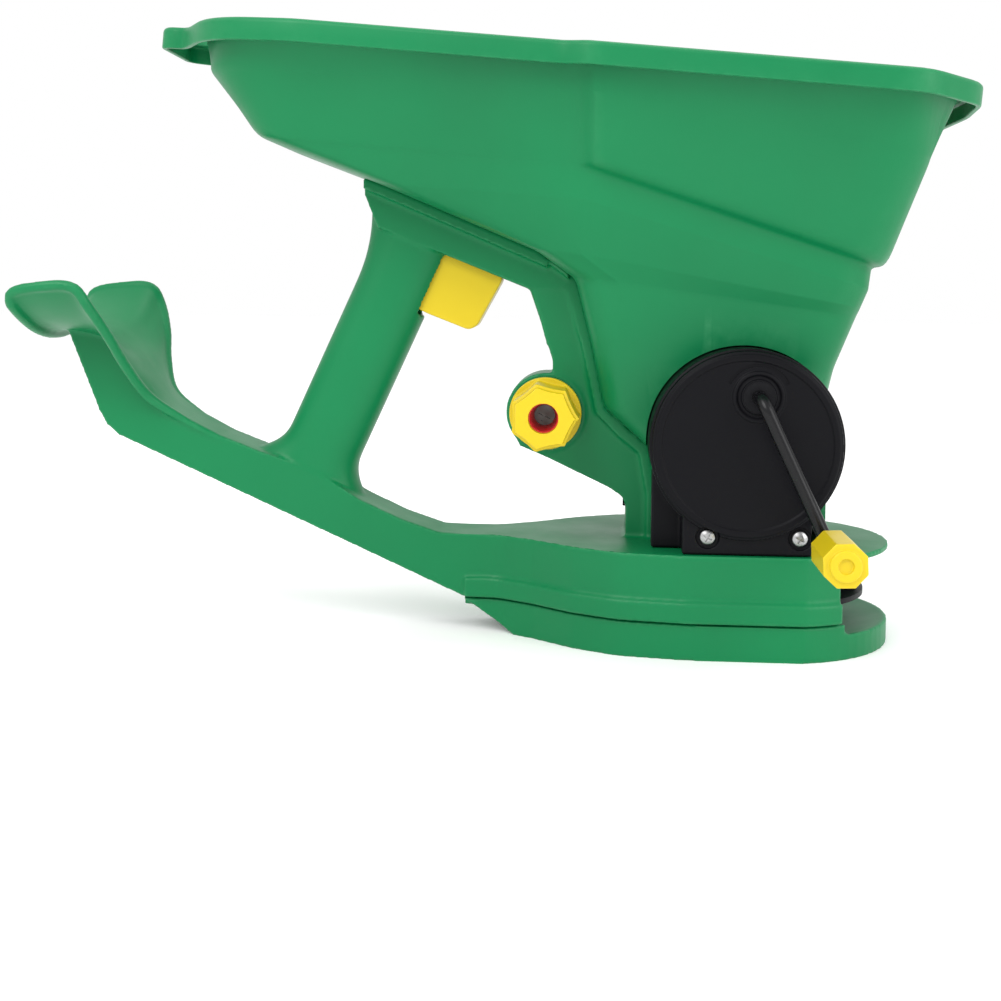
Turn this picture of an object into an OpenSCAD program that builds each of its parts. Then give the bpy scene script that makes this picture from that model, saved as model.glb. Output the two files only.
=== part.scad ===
// Hand-crank seed and fertiliser spreader with an arm rest, a hopper and a spinning disc.
// Millimetres. +X points forward to the outlet, +Y left, +Z up. The origin is where the
// vertical drive shaft's axis meets the flat underside.

/* [Hopper] */
// Height of the rim's top face above the ground at the drive shaft
rim_height = 258.2; // [252:0.2:264]
// Forward slope of the rim in degrees
rim_tilt = 5.05; // [4.5:0.05:5.5]
// Height of the rim band
rim_band = 10; // [8:0.5:12]
// Wall thickness of the moulded shells
wall = 2.4; // [2:0.1:2.8]

/* [Base] */
// Half width of the base
base_half = 58.5; // [57:0.5:60]
// Height of the joint between the housing and the lower plate
seam_z = 16; // [14:0.5:17]
// Height of the housing's top face
deck_z = 46; // [45:0.5:46.5]

/* [Spinner] */
// Radius of the spinning disc
disc_r = 53.5; // [48:0.5:53.5]
// Number of vanes on the spinning disc
vanes = 5; // [3:1:6]

/* [Crank] */
// Length of the crank arm between its two bends
crank_len = 69; // [60:1:74]
// Angle of the crank arm forward of straight down, in degrees
crank_lean = 25; // [0:1:40]
// Diameter of the crank rod
rod_d = 6; // [5:0.5:6.5]

/* [Controls] */
// Trigger travel along the rail
trigger_travel = 7; // [5:0.5:7]
// Number of lobes round the dial knob
dial_lobes = 7; // [5:1:9]

/* [Hidden] */

$fn = 48;
eps = 0.01;
gap = 0.4;              // space between mouldings that touch on the real object
green = "#24905a";
yellow = "#f2d21e";
black = "#202024";
steel = "silver";

// ---- outlines ------------------------------------------------------------------------

// One corner of a path replaced by an arc of radius c[2].
function corner(a, c, b, n) =
    let (u = (a - [c.x, c.y]) / norm(a - [c.x, c.y]), v = (b - [c.x, c.y]) / norm(b - [c.x, c.y]),
         half = acos(max(-1, min(1, u * v))) / 2, r = c[2])
    r < eps ? [[c.x, c.y]] :
    let (d = r / tan(half), m = [c.x, c.y] + (u + v) / norm(u + v) * r / sin(half),
         p = [c.x, c.y] + u * d - m, q = [c.x, c.y] + v * d - m,
         a0 = atan2(p.y, p.x), turn = atan2(p.x * q.y - p.y * q.x, p * q))
    [for (i = [0 : n]) m + r * [cos(a0 + turn * i / n), sin(a0 + turn * i / n)]];

// A closed path of [x, y, corner radius] points as plain points, n segments a corner.
function rounded(pts, n = 6) =
    let (k = len(pts))
    [for (i = [0 : k - 1])
        let (a = pts[(i + k - 1) % k], b = pts[(i + 1) % k])
        each corner([a.x, a.y], pts[i], [b.x, b.y], n)];

// The left half of a path, listed front to rear, closed by its mirror image.
function both_sides(half) =
    concat(half, [for (i = [len(half) - 1 : -1 : 0]) [half[i].x, -half[i].y, half[i][2]]]);

// An outline in the XZ plane, extruded between two Y values.
module side(pts, y0, y1) {
    translate([0, y1, 0]) rotate([90, 0, 0]) linear_extrude(y1 - y0) polygon(pts);
}

// A cylinder along +Y at x, z between two Y values.
module along_y(x, z, r, y0, y1, facets = 48) {
    translate([x, y1, z]) rotate([90, 0, 0]) cylinder(r = r, h = y1 - y0, $fn = facets);
}

// A skin between rings that all have the same number of points. Point i of a ring pairs with
// point n - 1 - i, and the ends close with strips between the pairs.
module skin(rings) {
    n = len(rings[0]);
    m = len(rings);
    sides = [for (j = [0 : m - 2], i = [0 : n - 1])
        let (a = j * n + i, b = j * n + (i + 1) % n) each [[a, b, b + n], [a, b + n, a + n]]];
    caps = [for (i = [0 : n / 2 - 2])
        let (q = [i, i + 1, n - 2 - i, n - 1 - i])
        each [[q[3], q[2], q[1], q[0]], q + (m - 1) * [n, n, n, n]]];
    polyhedron(points = [for (r = rings) each r], faces = concat(sides, caps), convexity = 8);
}

// ---- hopper --------------------------------------------------------------------------

// Rows: depth under the rim, how far the row follows the sloping ledge, extra half width in
// front of the step, rear x, rear half width, mid half width, front x, front half width, rear
// corner radius, front corner radius.
hopper_rows = [
    [0, 0, 5.5, -258, 57, 75.5, 81, 73, 42, 20],
    [20, 0.4, 5.5, -252.5, 55, 72, 70, 66, 38, 20],
    [48, 1, 5.5, -228, 48, 61, 55, 52, 14, 18],
    [50.5, 1, 0, -220, 47, 60, 49.5, 47, 14, 18],
    [64, 0.9, 0, -173, 46, 57, 48, 47, 12, 16],
    [88, 0.4, 0, -100, 43, 48, 45, 46, 10, 16],
    [99, 0.2, 0, -82.5, 40, 43, 43.5, 43, 14, 15],
    [128, 0, 0, -75, 35, 36, 35, 37, 13, 14],
    [157, 0, 0, -69, 31, 31, 29, 32, 12, 12],
    [173, 0, 0, -48.2, 29, 30, 30, 30, 8, 10],
    [200, 0, 0, -42.4, 29, 29, 35, 29, 5, 8]
];
step_x = -78;           // where the hopper widens
floor_z = 70;           // top of the hopper floor
floor_t = 2.5;
rim_face = 1.4;         // thickness of the rim's top face

function rim_z(x, depth) = rim_height - x * tan(rim_tilt) - depth;

// A section of the hopper, drawn inwards by t, with its floor at a height, as points in space.
function hopper_ring(r, t, bottom) =
    let (x1 = max(step_x, r[3] + 24), half = [
            [r[6] - t, r[7] - t, max(1, r[9] - t)], [x1 + 3 + t, r[5] + r[2] - t, 0],
            [x1 - 2 + t, r[5] - t, 0], [r[3] + t, r[4] - t, max(1, r[8] - t)]])
    [for (p = rounded(both_sides(half), 3))
        [p.x, p.y, max(bottom, rim_z(p.x, max(rim_face,
            r[0] - 0.7 * t + r[1] * 0.24 * max(0, p.x - x1))))]];

function hopper_rings(t, bottom) =
    [for (i = [len(hopper_rows) - 1 : -1 : 0]) hopper_ring(hopper_rows[i], t, bottom)];

rim_half_path = [[94, 24, 40], [89, 67, 20], [62, 92.6, 20], [-77, 89, 4], [-89, 83.4, 4],
                 [-205, 79, 40], [-245, 66, 50], [-266.5, 24, 50]];

module rim_outline(inset) {
    polygon(rounded(both_sides([for (p = rim_half_path)
        [p.x - inset * (p.x > 60 ? 1 : p.x < -200 ? -1 : 0),
         p.y - inset * (p.y > 30 ? 1 : 0), p[2]]]), 4));
}

module in_rim_plane() {
    translate([0, 0, rim_height]) rotate([0, rim_tilt, 0]) children();
}

pocket_x = -6.4;        // centre of the round gear case
pocket_z = 94.5;
case_r = 42.5;
pocket_face = -18.7;    // face of the hopper's pocket for the gear case

// The rim's outline with the hanging tab at the rear.
module band_outline(t) {
    rim_outline(t);
    polygon(rounded(both_sides([[-255, 27 - t, 0], [-278 + t, 24 - t, 7 - t]])));
}

module hopper() color(green) {
    outer = hopper_rings(0, floor_z - floor_t);
    inner = hopper_rings(wall, floor_z);
    difference() {
        union() {
            skin(concat(outer, [for (i = [len(inner) - 1 : -1 : 0]) inner[i]]));
            // wall of the pocket for the gear case
            intersection() {
                skin(hopper_rings(0.5, floor_z - floor_t / 2));
                along_y(pocket_x, pocket_z, case_r + 3.1, -60, pocket_face + 2);
            }
        }
        along_y(pocket_x, pocket_z, case_r + 0.7, -80, pocket_face);
        translate([0, 0, 60]) cylinder(r = 6, h = 20);
        translate([port_x0, -port_half, 60]) cube([port_x1 - port_x0, 2 * port_half, 20]);
        for (p = frame_screw_places) translate([p.x, p.y, 150]) cylinder(r = 1.9, h = 80);
        translate([cover_screw_x, 0, 150]) cylinder(r = 1.9, h = 80);
    }
}

// Walls round the shaft gear, between the hopper's floor and the deck.
module gear_skirt() color(green) difference() {
    translate([-43, -22, deck_z + gap]) cube([76, 49, floor_z - floor_t - deck_z - gap]);
    translate([-41, -30, deck_z - 1]) cube([72, 54.6, 30]);
    translate([-50, -12, 62]) cube([12, 24, 10]);
}

module hopper_rim() color(green) in_rim_plane() difference() {
    translate([0, 0, -rim_band]) linear_extrude(rim_band) band_outline(0);
    translate([0, 0, -rim_band - 1]) linear_extrude(rim_band + 2) rim_outline(10.4);
    translate([0, 0, -rim_band - 1]) linear_extrude(rim_band + 1 - rim_face) band_outline(2.2);
    translate([0, 0, -4]) linear_extrude(8)
        polygon(rounded(both_sides([[-262, 13, 5], [-273.5, 13, 5]])));
}

port_x0 = -36;          // outlet port in the hopper floor
port_x1 = -25;
port_half = 7.5;
frame_screw_places = [[-174, 7], [-174, -7]];
cover_screw_x = -88;

// The trough floor's lower face (t = 0) or upper face (t = wall) at x, along the middle.
function floor_at(x, t) = lookup(x, [for (r = hopper_rows) [r[3] + t, rim_z(r[3] + t, r[0] - 0.7 * t)]]);
function trough_z(x) = floor_at(x, wall);

// The trough floor from x0 to x1 as points, lifted by h.
function along_floor(x0, x1, t, h) = [for (x = [x0, -173 + t, -100 + t, x1]) [x, floor_at(x, t) + h]];

// Top of the link cover at x.
function cover_top(x) = trough_z(-186) + 9 - 0.437 * (x + 186);

module link_cover() color(green) {
    difference() {
        intersection() {
            side(concat(along_floor(-190, -92, wall, gap),
                        [[-76, trough_z(-92) - 3], [-74, trough_z(-92) - 1], [-74, cover_top(-74)],
                         [-186, cover_top(-186)], [-190, cover_top(-186) - 3]]), -17, 17);
            union() {
                translate([-173, 0, 150]) cylinder(r = 17, h = 90);
                translate([-173, -17, 150]) cube([120, 34, 90]);
            }
        }
        side([[-186, trough_z(-186)], [-94, trough_z(-94)], [-94, cover_top(-94) - 2],
              [-186, cover_top(-186) - 2]], -12, 12);
        translate([cover_screw_x, 0, 150]) cylinder(r = 1.9, h = 80, $fn = 24);
    }
}

// ---- frame ---------------------------------------------------------------------------

// The frame is one moulding on the real object. It is drawn as simple members that meet
// face to face.
frame_half = 13;
slot_x = -153 - trigger_travel;     // rear end of the trigger's slot

module top_rail() color(green) {
    difference() {
        union() {
            side(concat(along_floor(-182, -85, 0, -gap), [[-85, 162], [-104, 161.5], [-138, 175],
                        [-176, 190], [-182, 205]]), -15, 15);
            side(concat(along_floor(-182, -96, 0, -gap), [[-96, 172], [-182, 208]]), -19, 19);
        }
        // channel for the trigger's bar, open below at the trigger
        side([[-164, 193], [-100, 167], [-100, 178], [-164, 206]], -5.2, 5.2);
        side([[slot_x, 170], [-107, 150], [-107, 172], [slot_x, 200]], -8.2, 8.2);
        side([[-108, 155], [-80, 155], [-80, 168], [-86, 173], [-108, 181]], -5.2, 5.2);
        for (p = frame_screw_places) translate([p.x, p.y, 150]) cylinder(r = 1.8, h = 80, $fn = 24);
    }
}

grip_lean = 24.3;       // lean of the grip from the vertical
grip_foot = [-206, 80];

module grip_section(t) {
    polygon([for (a = [0 : 10 : 350])
        let (c = cos(a), s = sin(a))
        [(18.4 - t) * sign(c) * pow(abs(c), 0.85), (14.6 - t) * sign(s) * pow(abs(s), 0.85)]]);
}

module grip() color(green) {
    difference() {
        translate([grip_foot.x, 0, grip_foot.y]) rotate([0, grip_lean, 0])
            translate([0, 0, -14]) linear_extrude(130) grip_section(0);
        translate([grip_foot.x, 0, grip_foot.y]) rotate([0, grip_lean, 0])
            translate([0, 0, -20]) linear_extrude(150) grip_section(3);
        // seat on the arm
        side(concat([[-290, 40], [-150, 40], [-150, 48]], [for (i = [5 : -1 : 0]) arm_top[i] + [0, 0.3]]),
             -20, 20);
        // seat under the rail
        side([[-190, 240], [-190, 193], [-176, 189.4], [-138, 174.4], [-120, 167],
              [-120, 240]], -20, 20);
        // slot for the trigger
        side([[slot_x - 4, 152], [-140, 142], [-120, 150], [-130, 190], [slot_x + 2, 190]], -8.2, 8.2);
    }
}

strut_rear = [[-104, 161], [-99, 147], [-93, 128], [-93, 112], [-112, 96], [-108, 88],
              [-96, 83], [-66, 69], [-60, 65], [-58, 60], [-58, deck_z + gap]];
strut_front = [[-46, deck_z + gap], [-46, 66], [-50.5, 83], [-52.5, 88], [-64, 96.5], [-70.5, 106],
               [-76.6, 138], [-82, 158], [-84.5, 161]];
dial_x = -96;
dial_z = 104;
boss_r = 18.6;
lever_pivot = [-84, 128];

module front_strut() color(green) {
    inner = [[-101, 162.5], [-97, 147], [-91, 129], [-91, 112], [-108, 97], [-106, 91],
             [-96, 86], [-66, 72], [-61.2, 68.6], [-61.2, 63.8], [-55.8, 60], [-55.8, deck_z - 1],
             [-40, deck_z - 1], [-40, 90], [-60, 103], [-66, 108], [-74, 140], [-80, 163]];
    difference() {
        union() {
            side(concat(strut_rear, strut_front), -frame_half, frame_half);
            along_y(dial_x, dial_z, boss_r, -14, 14);
        }
        side(inner, -frame_half + 2.2, frame_half - 2.2);
        along_y(dial_x, dial_z, boss_r - 2.2, -9, 11.8);
        // bore for the dial's drum, and its reading window
        along_y(dial_x, dial_z, 15.6, -20, -8);
        translate([dial_x, 0, dial_z]) rotate([0, 35, 0]) translate([-24, -13, -3.5])
            cube([12, 4.6, 7]);
        along_y(lever_pivot.x, lever_pivot.y, 2.05, -20, 20, 32);
        along_y(dial_x, dial_z, 4.05, 5, 13, 32);
        // slot for the shutter's tail and the end of the lever
        translate([-64, -3.4, 58.4]) cube([9, 6.8, 5.4]);
        translate([-64, -9.6, 63.8]) cube([9, 19.2, 3.8]);
    }
}

arm_top = [[-270, 98], [-232, 83.5], [-222, 80.5], [-198, 70.5], [-184, 61.5], [-164, 52.5],
           [-146, 46.6]];
arm_low = [[-134, 16.4], [-300, 90]];

module arm() color(green) {
    half = 15;
    difference() {
        side(concat([[-325, 139.6], [-310, 102], [-306, 95]], [arm_low[1], arm_low[0]],
                    [[-134, seam_z + 1], [-134, 46]], [for (i = [6 : -1 : 0]) arm_top[i]],
                    [[-281, 106], [-289, 117], [-302, 131.4], [-310, 136.5]]), -half, half);
        side(concat([[-331, 137], [-330, 80], [-300, 60], [-120, 0]], [[-120, 43], [-146, 43.6]],
                    [[-166, 49], [-186, 58], [-200, 67], [-226, 77.5], [-270, 95], [-282, 104],
                     [-290, 115], [-304, 129]]), -half + 2.4, half - 2.4);
    }
}

// Rows along the rest: x at the middle, x at the wings, half width, middle height, wing height.
rest_rows = [
    [-336, -338, 52, 140, 155],
    [-333, -336, 55, 143.5, 160],
    [-322, -325, 56.5, 143.5, 162.5],
    [-308, -308, 57, 140.5, 163],
    [-300, -301, 54, 135, 154],
    [-292, -295, 44, 127.5, 140],
    [-287, -291, 32, 119, 126],
    [-280, -284, 20, 108.5, 111],
    [-270, -270, 15, 101.6, 101.6]
];
rest_steps = 7;

// The rest's cross-section, a shallow U between its wings.
function rest_ring(r, t) =
    let (top = [for (i = [-rest_steps : rest_steps])
            let (s = i / rest_steps, k = pow(abs(s), 2.2))
            [r[0] + (r[1] - r[0]) * k, r[2] * s, r[3] + (r[4] - r[3]) * k]])
    concat(top, [for (i = [2 * rest_steps : -1 : 0]) top[i] - [0, 0, t]]);

module armrest() color(green) {
    difference() {
        skin([for (i = [len(rest_rows) - 1 : -1 : 0]) rest_ring(rest_rows[i], 3.4)]);
        side([[-325.4, 90], [-325.4, 140], [-310, 136.8], [-301.8, 131.7], [-288.7, 117.3],
              [-280.7, 106.3], [-269.7, 98.3], [-240, 88], [-240, 60], [-300, 60]], -15.3, 15.3);
    }
}

// Half of the base outline, front to rear.
nose_r = 60.5;
nose_x = 4;
function nose_arc(r, a0, a1, n) = [for (i = [0 : n])
    let (a = a0 + (a1 - a0) * i / n) [nose_x + r * cos(a), r * sin(a), 0]];
function base_half_path(t) = concat(
    nose_arc(nose_r - t, 0, asin((base_half - t) / (nose_r - t)), 14),
    [[-32, base_half - t, 40], [-62, 53.5 - t, 30], [-82, 42.5 - t, 30], [-101, 26.5 - t, 30],
     [-118, 15.6 - t, 20], [-134, 15 - t, 0]]);

module base_outline(t) {
    h = base_half_path(t);
    polygon(rounded(concat(h, [for (i = [len(h) - 1 : -1 : 1]) [h[i].x, -h[i].y, h[i][2]]]), 5));
}

module base_housing() color(green) {
    mouth = 58;         // half angle of the outlet
    difference() {
        translate([0, 0, seam_z + gap]) linear_extrude(deck_z - seam_z - gap) base_outline(0);
        translate([0, 0, seam_z - 1]) linear_extrude(deck_z - seam_z - 1.6) base_outline(2.2);
        translate([-134.5, -12.6, seam_z - 1]) cube([12, 25.2, deck_z - seam_z - 1.6]);
        // outlet
        translate([nose_x, 0, seam_z - 1]) linear_extrude(deck_z - seam_z - 1.8)
            polygon([[0, 0], [90 * cos(mouth), 90 * sin(mouth)], [120, 90], [120, -90],
                     [90 * cos(mouth), -90 * sin(mouth)]]);
        translate([0, 0, deck_z - 6]) cylinder(r = 6, h = 12);
        translate([-37, -8.5, deck_z - 6]) cube([13.4, 17, 12]);
    }
    // chute from the shutter to the disc
    difference() {
        translate([-39, -10.5, deck_z - 2]) cube([18, 21, shutter_z - gap - deck_z + 2]);
        translate([-37, -8.5, deck_z - 6]) cube([13.4, 17, 30]);
        cylinder(r = 21.6, h = 80);
    }
}

module lower_plate() color(green) {
    rim = 15.6;
    difference() {
        union() {
            difference() {
                linear_extrude(rim) base_outline(0);
                translate([0, 0, 2.6]) linear_extrude(rim) base_outline(2.4);
                // the front lip is lower
                translate([38, -80, 11]) cube([60, 160, 20]);
            }
            // dished tray under the disc
            intersection() {
                linear_extrude(rim) base_outline(1);
                rotate_extrude($fn = 72) polygon([[30, 2], [72, 2], [72, 13.5], [62, 11],
                                                  [44, 7.5], [30, 7.5]]);
                translate([-50, -80, 0]) cube([160, 160, rim]);
            }
        }
        // the rear tip lifts to meet the arm
        side([[-150, -1], [-108, -1], [-110.6, 0.4], [-134.2, 15.7], [-150, 22]], -40, 40);
        for (p = plate_screw_places) translate([p.x, p.y, -1]) cylinder(r = 1.8, h = 9, $fn = 24);
    }
}

plate_screw_places = [[-80, 20], [-80, -20], [-60, 40], [-60, -40]];

module plate_screws() color(steel) {
    for (p = plate_screw_places) translate([p.x, p.y, 2.7]) {
        cylinder(r = 3.3, h = 2);
        cylinder(r = 1.7, h = 10, $fn = 24);
    }
}

module pan_screw(shank) {
    cylinder(r = 3.2, h = 1.6);
    translate([0, 0, -shank]) cylinder(r = 1.75, h = shank + 0.5, $fn = 24);
}

module frame_screws() color(steel) {
    for (p = frame_screw_places) translate([p.x, p.y, trough_z(p.x) + 1.6]) pan_screw(15);
}

module cover_screw() color(steel) {
    translate([cover_screw_x, 0, cover_top(cover_screw_x) + 1.5]) pan_screw(13);
}

// ---- gear case and crank -------------------------------------------------------------

cover_y = -52;          // back of the cover
face_y = -57;           // outer face of the cover
crank_x = -2;
crank_z = 116;
crown_z = 92;
foot_screws = [[-23, 54], [17, 54]];

module case_foot(t, y0, y1) {
    side([[-34 + t, 46.4 + t], [-34 + t, 66], [-20, 78], [12, 78], [22 - t, 66],
          [22 - t, 46.4 + t]], y0, y1);
}

module gear_case() color(black) {
    difference() {
        union() {
            along_y(pocket_x, pocket_z, case_r, cover_y + gap, -23.5, 72);
            case_foot(0, cover_y + gap, -22.6);
            translate([-47, -40, 46.4]) cube([18, 9.4, 34]);
        }
        along_y(pocket_x, pocket_z, case_r - 2.5, -70, -10, 72);
        case_foot(2.5, -70, -10);
        translate([-44.5, -37.5, 40]) cube([13, 4.4, 38]);
        for (p = foot_screws) along_y(p.x, p.y, 1.6, -60, -20, 24);
    }
    for (p = foot_screws) difference() {
        along_y(p.x, p.y, 4.4, cover_y + gap, -30, 32);
        along_y(p.x, p.y, 1.6, -60, -20, 24);
    }
}

module gear_cover() color(black) {
    difference() {
        union() {
            along_y(pocket_x, pocket_z, case_r, cover_y - 2, cover_y, 96);
            along_y(pocket_x, pocket_z, case_r - 1.2, face_y, cover_y, 96);
            case_foot(0, face_y + 2, cover_y);
            along_y(crank_x, crank_z, 7.6, face_y - 1.2, face_y + 2);
        }
        along_y(pocket_x, pocket_z, case_r - 3.6, face_y + 2.4, cover_y + 1, 96);
        along_y(crank_x, crank_z, 5.6, face_y - 5, cover_y + 9);
        for (p = foot_screws) {
            along_y(p.x, p.y, 1.9, -70, -40, 24);
            along_y(p.x, p.y, 5.2, -70, face_y + 3.6, 32);
        }
    }
    difference() {
        union() {
            along_y(crank_x, crank_z, 7.6, face_y + 2, cover_y + 6);
            along_y(0, crown_z, 5.5, face_y + 2, cover_y + 6);
        }
        along_y(crank_x, crank_z, 5.6, face_y - 5, cover_y + 9);
        along_y(0, crown_z, 2.5, face_y + 2.4, cover_y + 9, 32);
    }
}

module case_screws() color(steel) {
    for (p = foot_screws) difference() {
        union() {
            along_y(p.x, p.y, 3.5, face_y + 1.6, face_y + 3.5, 32);
            along_y(p.x, p.y, 1.5, face_y + 3, -38, 24);
        }
        for (a = [0, 90]) translate([p.x, face_y + 1.5, p.y]) rotate([0, a + 30, 0])
            cube([4, 2, 0.8], center = true);
    }
}

module crank_bush() color("#303034") {
    difference() {
        union() {
            along_y(crank_x, crank_z, 5.6, face_y - 1.2, cover_y + 6);
            along_y(crank_x, crank_z, 6.8, face_y - 2, face_y - 1.2);
        }
        along_y(crank_x, crank_z, rod_d / 2 + 0.05, -80, -20);
    }
}

rod_y = -70;            // plane in which the crank arm turns
bend_r = 7;
knob_y = [-79, -113];

// Turns its children, drawn for a crank that hangs straight down, to the crank's own angle.
module at_crank() {
    translate([crank_x, 0, crank_z]) rotate([0, -crank_lean, 0]) children();
}

module elbow(start) {
    rotate([90, 0, 90]) rotate([0, 0, start]) rotate_extrude(angle = 90, $fn = 64)
        translate([bend_r, 0]) circle(r = rod_d / 2, $fn = 32);
}

module crank_arm() color(black) at_crank() {
    along_y(0, 0, rod_d / 2, rod_y + bend_r, crank_gear_y[1] + 1, 32);
    translate([0, rod_y + bend_r, -bend_r]) elbow(90);
    translate([0, rod_y, bend_r - crank_len]) cylinder(r = rod_d / 2, h = crank_len - 2 * bend_r, $fn = 32);
    translate([0, rod_y - bend_r, bend_r - crank_len]) elbow(-90);
    along_y(0, -crank_len, rod_d / 2, knob_y[1] + 5, rod_y - bend_r, 32);
}

module crank_knob() color(yellow) at_crank() translate([0, 0, -crank_len]) {
    difference() {
        union() {
            along_y(0, 0, 9.6, knob_y[1] + 1.5, knob_y[0], 8);
            along_y(0, 0, 6.4, knob_y[1], knob_y[1] + 2);
        }
        along_y(0, 0, rod_d / 2 + 0.06, knob_y[1] + 4, knob_y[0] + 1, 32);
        along_y(0, 0, 3.1, knob_y[1] - 1, knob_y[1] + 5, 32);
    }
}

module knob_screw() color(steel) at_crank() translate([0, 0, -crank_len]) {
    along_y(0, 0, 2.6, knob_y[1] + 2.4, knob_y[1] + 5, 24);
}

// ---- gear train ----------------------------------------------------------------------

gear_m = 1;             // tooth module
crank_teeth = 32;
pinion_teeth = 16;
crown_teeth = 60;
shaft_teeth = 40;
crank_gear_y = [-38, -31];
crown_y = [-24.2, -21.2];

// A gear outline with its first tooth centred on angle a0.
function gear_path(teeth, a0) =
    let (r = teeth * gear_m / 2)
    [for (i = [0 : teeth - 1], c = [[-1.15, -0.34], [0.7, -0.15], [0.7, 0.15], [-1.15, 0.34]])
        let (a = a0 + (i + c[1]) * 360 / teeth)
        (r + c[0] * gear_m) * [cos(a), sin(a)]];

// Angle in the XZ plane from the crank's axis to the crown gear's axis.
mesh_angle = atan2(crown_z - crank_z, -crank_x);

module crank_gear() color("gainsboro") difference() {
    union() {
        translate([crank_x, 0, crank_z]) side(gear_path(crank_teeth, mesh_angle),
                                              crank_gear_y[0], crank_gear_y[1]);
        along_y(crank_x, crank_z, 6, crank_gear_y[0] - 5, crank_gear_y[1]);
    }
    along_y(crank_x, crank_z, rod_d / 2, -60, -20, 32);
}

module crown_gear() color("gainsboro") difference() {
    union() {
        along_y(0, crown_z, crown_teeth / 2 + 1.5, crown_y[0], crown_y[1], 90);
        translate([0, 0, crown_z]) side(gear_path(pinion_teeth, mesh_angle + 180 + 180 / pinion_teeth),
                                        crank_gear_y[0] - 0.5, crown_y[0]);
        for (i = [0 : crown_teeth - 1]) translate([0, crown_y[1], crown_z])
            rotate([0, (i + 0.5) * 360 / crown_teeth, 0])
                translate([-0.5, -0.5, 28]) cube([1, 2.1, crown_teeth / 2 + 1.5 - 28]);
    }
    along_y(0, crown_z, 2.55, -60, 0, 32);
}

module crown_axle() color(steel) {
    along_y(0, crown_z, 2.5, face_y + 2.4, pocket_face + 0.02, 32);
}

shaft_r = 3;
shaft_gear_z = [56.5, 63.8];
shutter_z = 64.8;

module shaft_gear() color("gainsboro") difference() {
    union() {
        translate([0, 0, shaft_gear_z[0]]) linear_extrude(shaft_gear_z[1] - shaft_gear_z[0])
            polygon(gear_path(shaft_teeth, -90));
        translate([0, 0, 48]) cylinder(r = 7, h = 18);
    }
    cylinder(r = shaft_r, h = 90, $fn = 32);
}

module drive_shaft() color(steel) translate([0, 0, 15]) cylinder(r = shaft_r, h = 69, $fn = 32);

module bush(z0, z1, flange_z) {
    difference() {
        union() {
            translate([0, 0, z0]) cylinder(r = 6, h = z1 - z0);
            translate([0, 0, flange_z]) cylinder(r = 7.6, h = 1);
        }
        translate([0, 0, z0 - 5]) cylinder(r = shaft_r + 0.05, h = 20, $fn = 32);
    }
}

module upper_bush() color("gold") bush(floor_z - floor_t, floor_z + 1, floor_z);

module lower_bush() color("gold") bush(deck_z - 3.6, deck_z + 1, deck_z - 3.6);

module agitator() color(yellow) difference() {
    union() {
        translate([0, 0, floor_z + 1.6]) cylinder(r = 5.2, h = 15);
        for (a = [0, 180]) rotate([0, 0, a + 40]) translate([0, -1.5, floor_z + 3])
            rotate([20, 0, 0]) cube([13, 3, 9]);
    }
    translate([0, 0, 60]) cylinder(r = shaft_r, h = 24.1, $fn = 32);
}

disc_z = 22;

module impeller() color(black) difference() {
    union() {
        translate([0, 0, disc_z]) cylinder(r = disc_r, h = 2.4, $fn = 96);
        translate([0, 0, disc_z]) cylinder(r = 8.5, h = 19.4);
        for (i = [0 : vanes - 1]) rotate([0, 0, i * 360 / vanes]) translate([4, 4, disc_z + 2])
            rotate([0, 0, -14]) rotate([90, 0, 0]) linear_extrude(2)
                polygon([[0, 0], [disc_r - 6, 0], [disc_r - 6, 6], [disc_r - 20, 14], [0, 16]]);
    }
    translate([0, 0, 10]) cylinder(r = shaft_r, h = 40, $fn = 32);
}

module impeller_nut() color(steel) difference() {
    translate([0, 0, disc_z - 4]) cylinder(r = 5.8, h = 4, $fn = 6);
    translate([0, 0, 10]) cylinder(r = shaft_r, h = 20, $fn = 32);
}

// ---- shutter and trigger -------------------------------------------------------------

lever_half = 2;
lever_outline = [[-90, 165], [-89.1, 167.1], [-87, 168], [-84.9, 167.1], [-84, 165], [-80.8, 128],
                 [-77, 104.7], [-65.4, 86.6], [-55.7, 77.6], [-55.7, 59], [-59.3, 59],
                 [-59.3, 75.6], [-70.4, 83.2], [-82.9, 103.2], [-87.2, 128]];
link_pin = [-87, 165];

module shutter() color(yellow) difference() {
    translate([-60.5, -9, shutter_z]) cube([38, 18, 1.8]);
    translate([-47.5, -port_half, shutter_z - 1]) cube([11, 2 * port_half, 4]);
    translate([-59.9, -2.5, shutter_z - 1]) cube([4.8, 5, 4]);
}

module gate_lever() color(black) difference() {
    union() {
        side(lever_outline, -lever_half, lever_half);
        along_y(lever_pivot.x, lever_pivot.y, 4.6, -lever_half - 0.5, lever_half + 0.5);
        along_y(link_pin.x, link_pin.y, 1.9, 1, 5, 32);
        // nose over the dial's cam
        side([[-86, 127], [-90.4, 122], [-88.2, 119.6], [-83, 124]], 1, 7);
    }
    along_y(lever_pivot.x, lever_pivot.y, 2.05, -10, 20, 32);
}

module lever_pin() color(steel) {
    along_y(lever_pivot.x, lever_pivot.y, 2, -12.5, 12.5, 32);
}

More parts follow.
